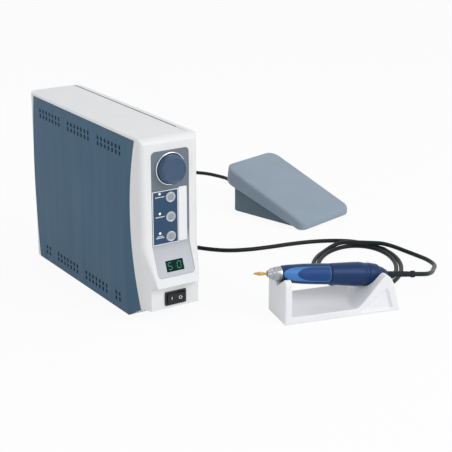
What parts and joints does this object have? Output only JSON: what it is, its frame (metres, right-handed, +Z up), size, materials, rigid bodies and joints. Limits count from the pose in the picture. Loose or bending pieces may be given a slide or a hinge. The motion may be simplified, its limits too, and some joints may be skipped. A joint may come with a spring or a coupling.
{
  "type": "dental micromotor set",
  "caption": "Upright control unit with speed knob, keys, display and rocker switch, a motor handpiece lying on its stand, a foot pedal and their cords.",
  "frame": {"origin": "on the table, under the middle of the control unit", "axes": "+X to the unit's right as its user faces it, +Y to the unit's back, +Z up"},
  "size_m": [0.4497, 0.6382, 0.2201],
  "materials": {
    "white_abs": "fine satin moulding",
    "stand_abs": "satin moulding",
    "blue_abs": "fine spark-textured moulding",
    "grey_fascia": "satin paint film",
    "label_film": "printed polyester film",
    "strip_film": "plain polyester film",
    "silver_cap": "silver-lacquered cap",
    "lens_clear": "clear lens",
    "display_glass": "dark tinted window",
    "black_nylon": "moulded nylon",
    "knob_blue": "satin lacquered moulding",
    "bright_ring": "bright plated",
    "steel": "turned steel",
    "satin_steel": "satin turned steel",
    "zinc": "zinc plated sheet",
    "board": "solder-masked laminate",
    "core_iron": "varnished laminations",
    "copper": "enamelled winding",
    "cap_sleeve": "shrink sleeve",
    "dark_aluminium": "anodised fins",
    "pedal_dark": "fine textured moulding",
    "pedal_grey": "fine textured moulding",
    "black_rubber": "moulded rubber",
    "cord_pvc": "extruded jacket",
    "blue_anodised": "satin anodised",
    "gold_bur": "abrasive coated head"
  },
  "bodies": {
    "set": {"front_housing": "white_abs", "front_fascia": "grey_fascia", "knob_ring": "bright_ring", "speed_potentiometer": "zinc", "key_label": "label_film", "label_strip": "strip_film", "indicator_lenses": "lens_clear", "display_window": "display_glass", "display_module": "black_nylon", "control_board": "board", "tact_switches": "black_nylon", "switch_frame": "black_nylon", "top_cover": "white_abs", "left_panel": "blue_abs", "right_panel": "blue_abs", "rear_cover": "white_abs", "base_tray": "zinc", "cover_screws": "steel", "transformer_core": "core_iron", "transformer_coil": "copper", "main_board": "board", "capacitors": "cap_sleeve", "heat_sink": "dark_aluminium", "mains_inlet": "black_nylon", "fuse_holder": "black_nylon", "cord_sockets": "zinc", "stand_body": "stand_abs", "pedal_base": "pedal_dark", "pedal_spring": "steel", "pedal_sensor": "board", "pedal_feet": "black_rubber", "pedal_gland": "black_rubber", "motor_cord_lead": "cord_pvc", "motor_cord_loop": "cord_pvc", "motor_cord_tail": "cord_pvc", "motor_plug": "black_rubber", "pedal_cord": "cord_pvc", "pedal_cord_coil": "cord_pvc", "pedal_cord_lead": "cord_pvc", "pedal_plug": "black_rubber"},
    "knob": {"speed_knob": "knob_blue", "knob_shaft": "steel"},
    "button_upper": {"upper_button": "silver_cap"},
    "button_middle": {"middle_button": "silver_cap"},
    "button_lower": {"lower_button": "silver_cap"},
    "rocker": {"power_rocker": "black_nylon"},
    "pedal": {"pedal_plate": "pedal_grey", "pedal_pin": "steel"},
    "handpiece": {"motor_case": "blue_anodised", "spindle_tube": "satin_steel", "nose_cone": "satin_steel", "spindle_bearings": "steel", "stator_coil": "copper", "rear_cap": "blue_anodised", "cord_boot": "black_rubber"},
    "sleeve": {"grip_sleeve": "blue_anodised"},
    "spindle": {"rotor_shaft": "steel", "rotor_magnet": "core_iron", "collet": "satin_steel", "bur": "gold_bur"}
  },
  "joints": [
    {"name": "knob_turn", "type": "hinge", "parent": "set", "child": "knob", "pos_m": [0, -0.1392, 0.183], "axis": [0, 1, 0], "range_deg": [0, 280]},
    {"name": "upper_button_press", "type": "slide", "parent": "set", "child": "button_upper", "axis": [0, 1, 0], "range_m": [0, 0.0008], "stiffness_N_per_m": 1500},
    {"name": "middle_button_press", "type": "slide", "parent": "set", "child": "button_middle", "axis": [0, 1, 0], "range_m": [0, 0.0008], "stiffness_N_per_m": 1500},
    {"name": "lower_button_press", "type": "slide", "parent": "set", "child": "button_lower", "axis": [0, 1, 0], "range_m": [0, 0.0008], "stiffness_N_per_m": 1500},
    {"name": "rocker_tip", "type": "hinge", "parent": "set", "child": "rocker", "pos_m": [0, -0.1473, 0.0295], "axis": [0, 0, 1], "range_deg": [0, 16]},
    {"name": "pedal_press", "type": "hinge", "parent": "set", "child": "pedal", "pos_m": [0.35883, 0.05697, 0.0055], "axis": [-0.9646, -0.2639, 0], "range_deg": [0, 6], "stiffness_Nm_per_rad": 6, "springref_deg": -6.88, "deforming": ["pedal_spring"]},
    {"name": "handpiece_lift", "type": "slide", "parent": "set", "child": "handpiece", "axis": [0, 0, 1], "range_m": [0, 0.06]},
    {"name": "sleeve_twist", "type": "hinge", "parent": "handpiece", "child": "sleeve", "pos_m": [0.09175, -0.2015, 0.0566], "axis": [0.9653, -0.2282, -0.1271], "range_deg": [0, 40]},
    {"name": "spindle_spin", "type": "hinge", "parent": "handpiece", "child": "spindle", "pos_m": [0.09175, -0.2015, 0.0566], "axis": [0.9653, -0.2282, -0.1271], "continuous": true}
  ]
}
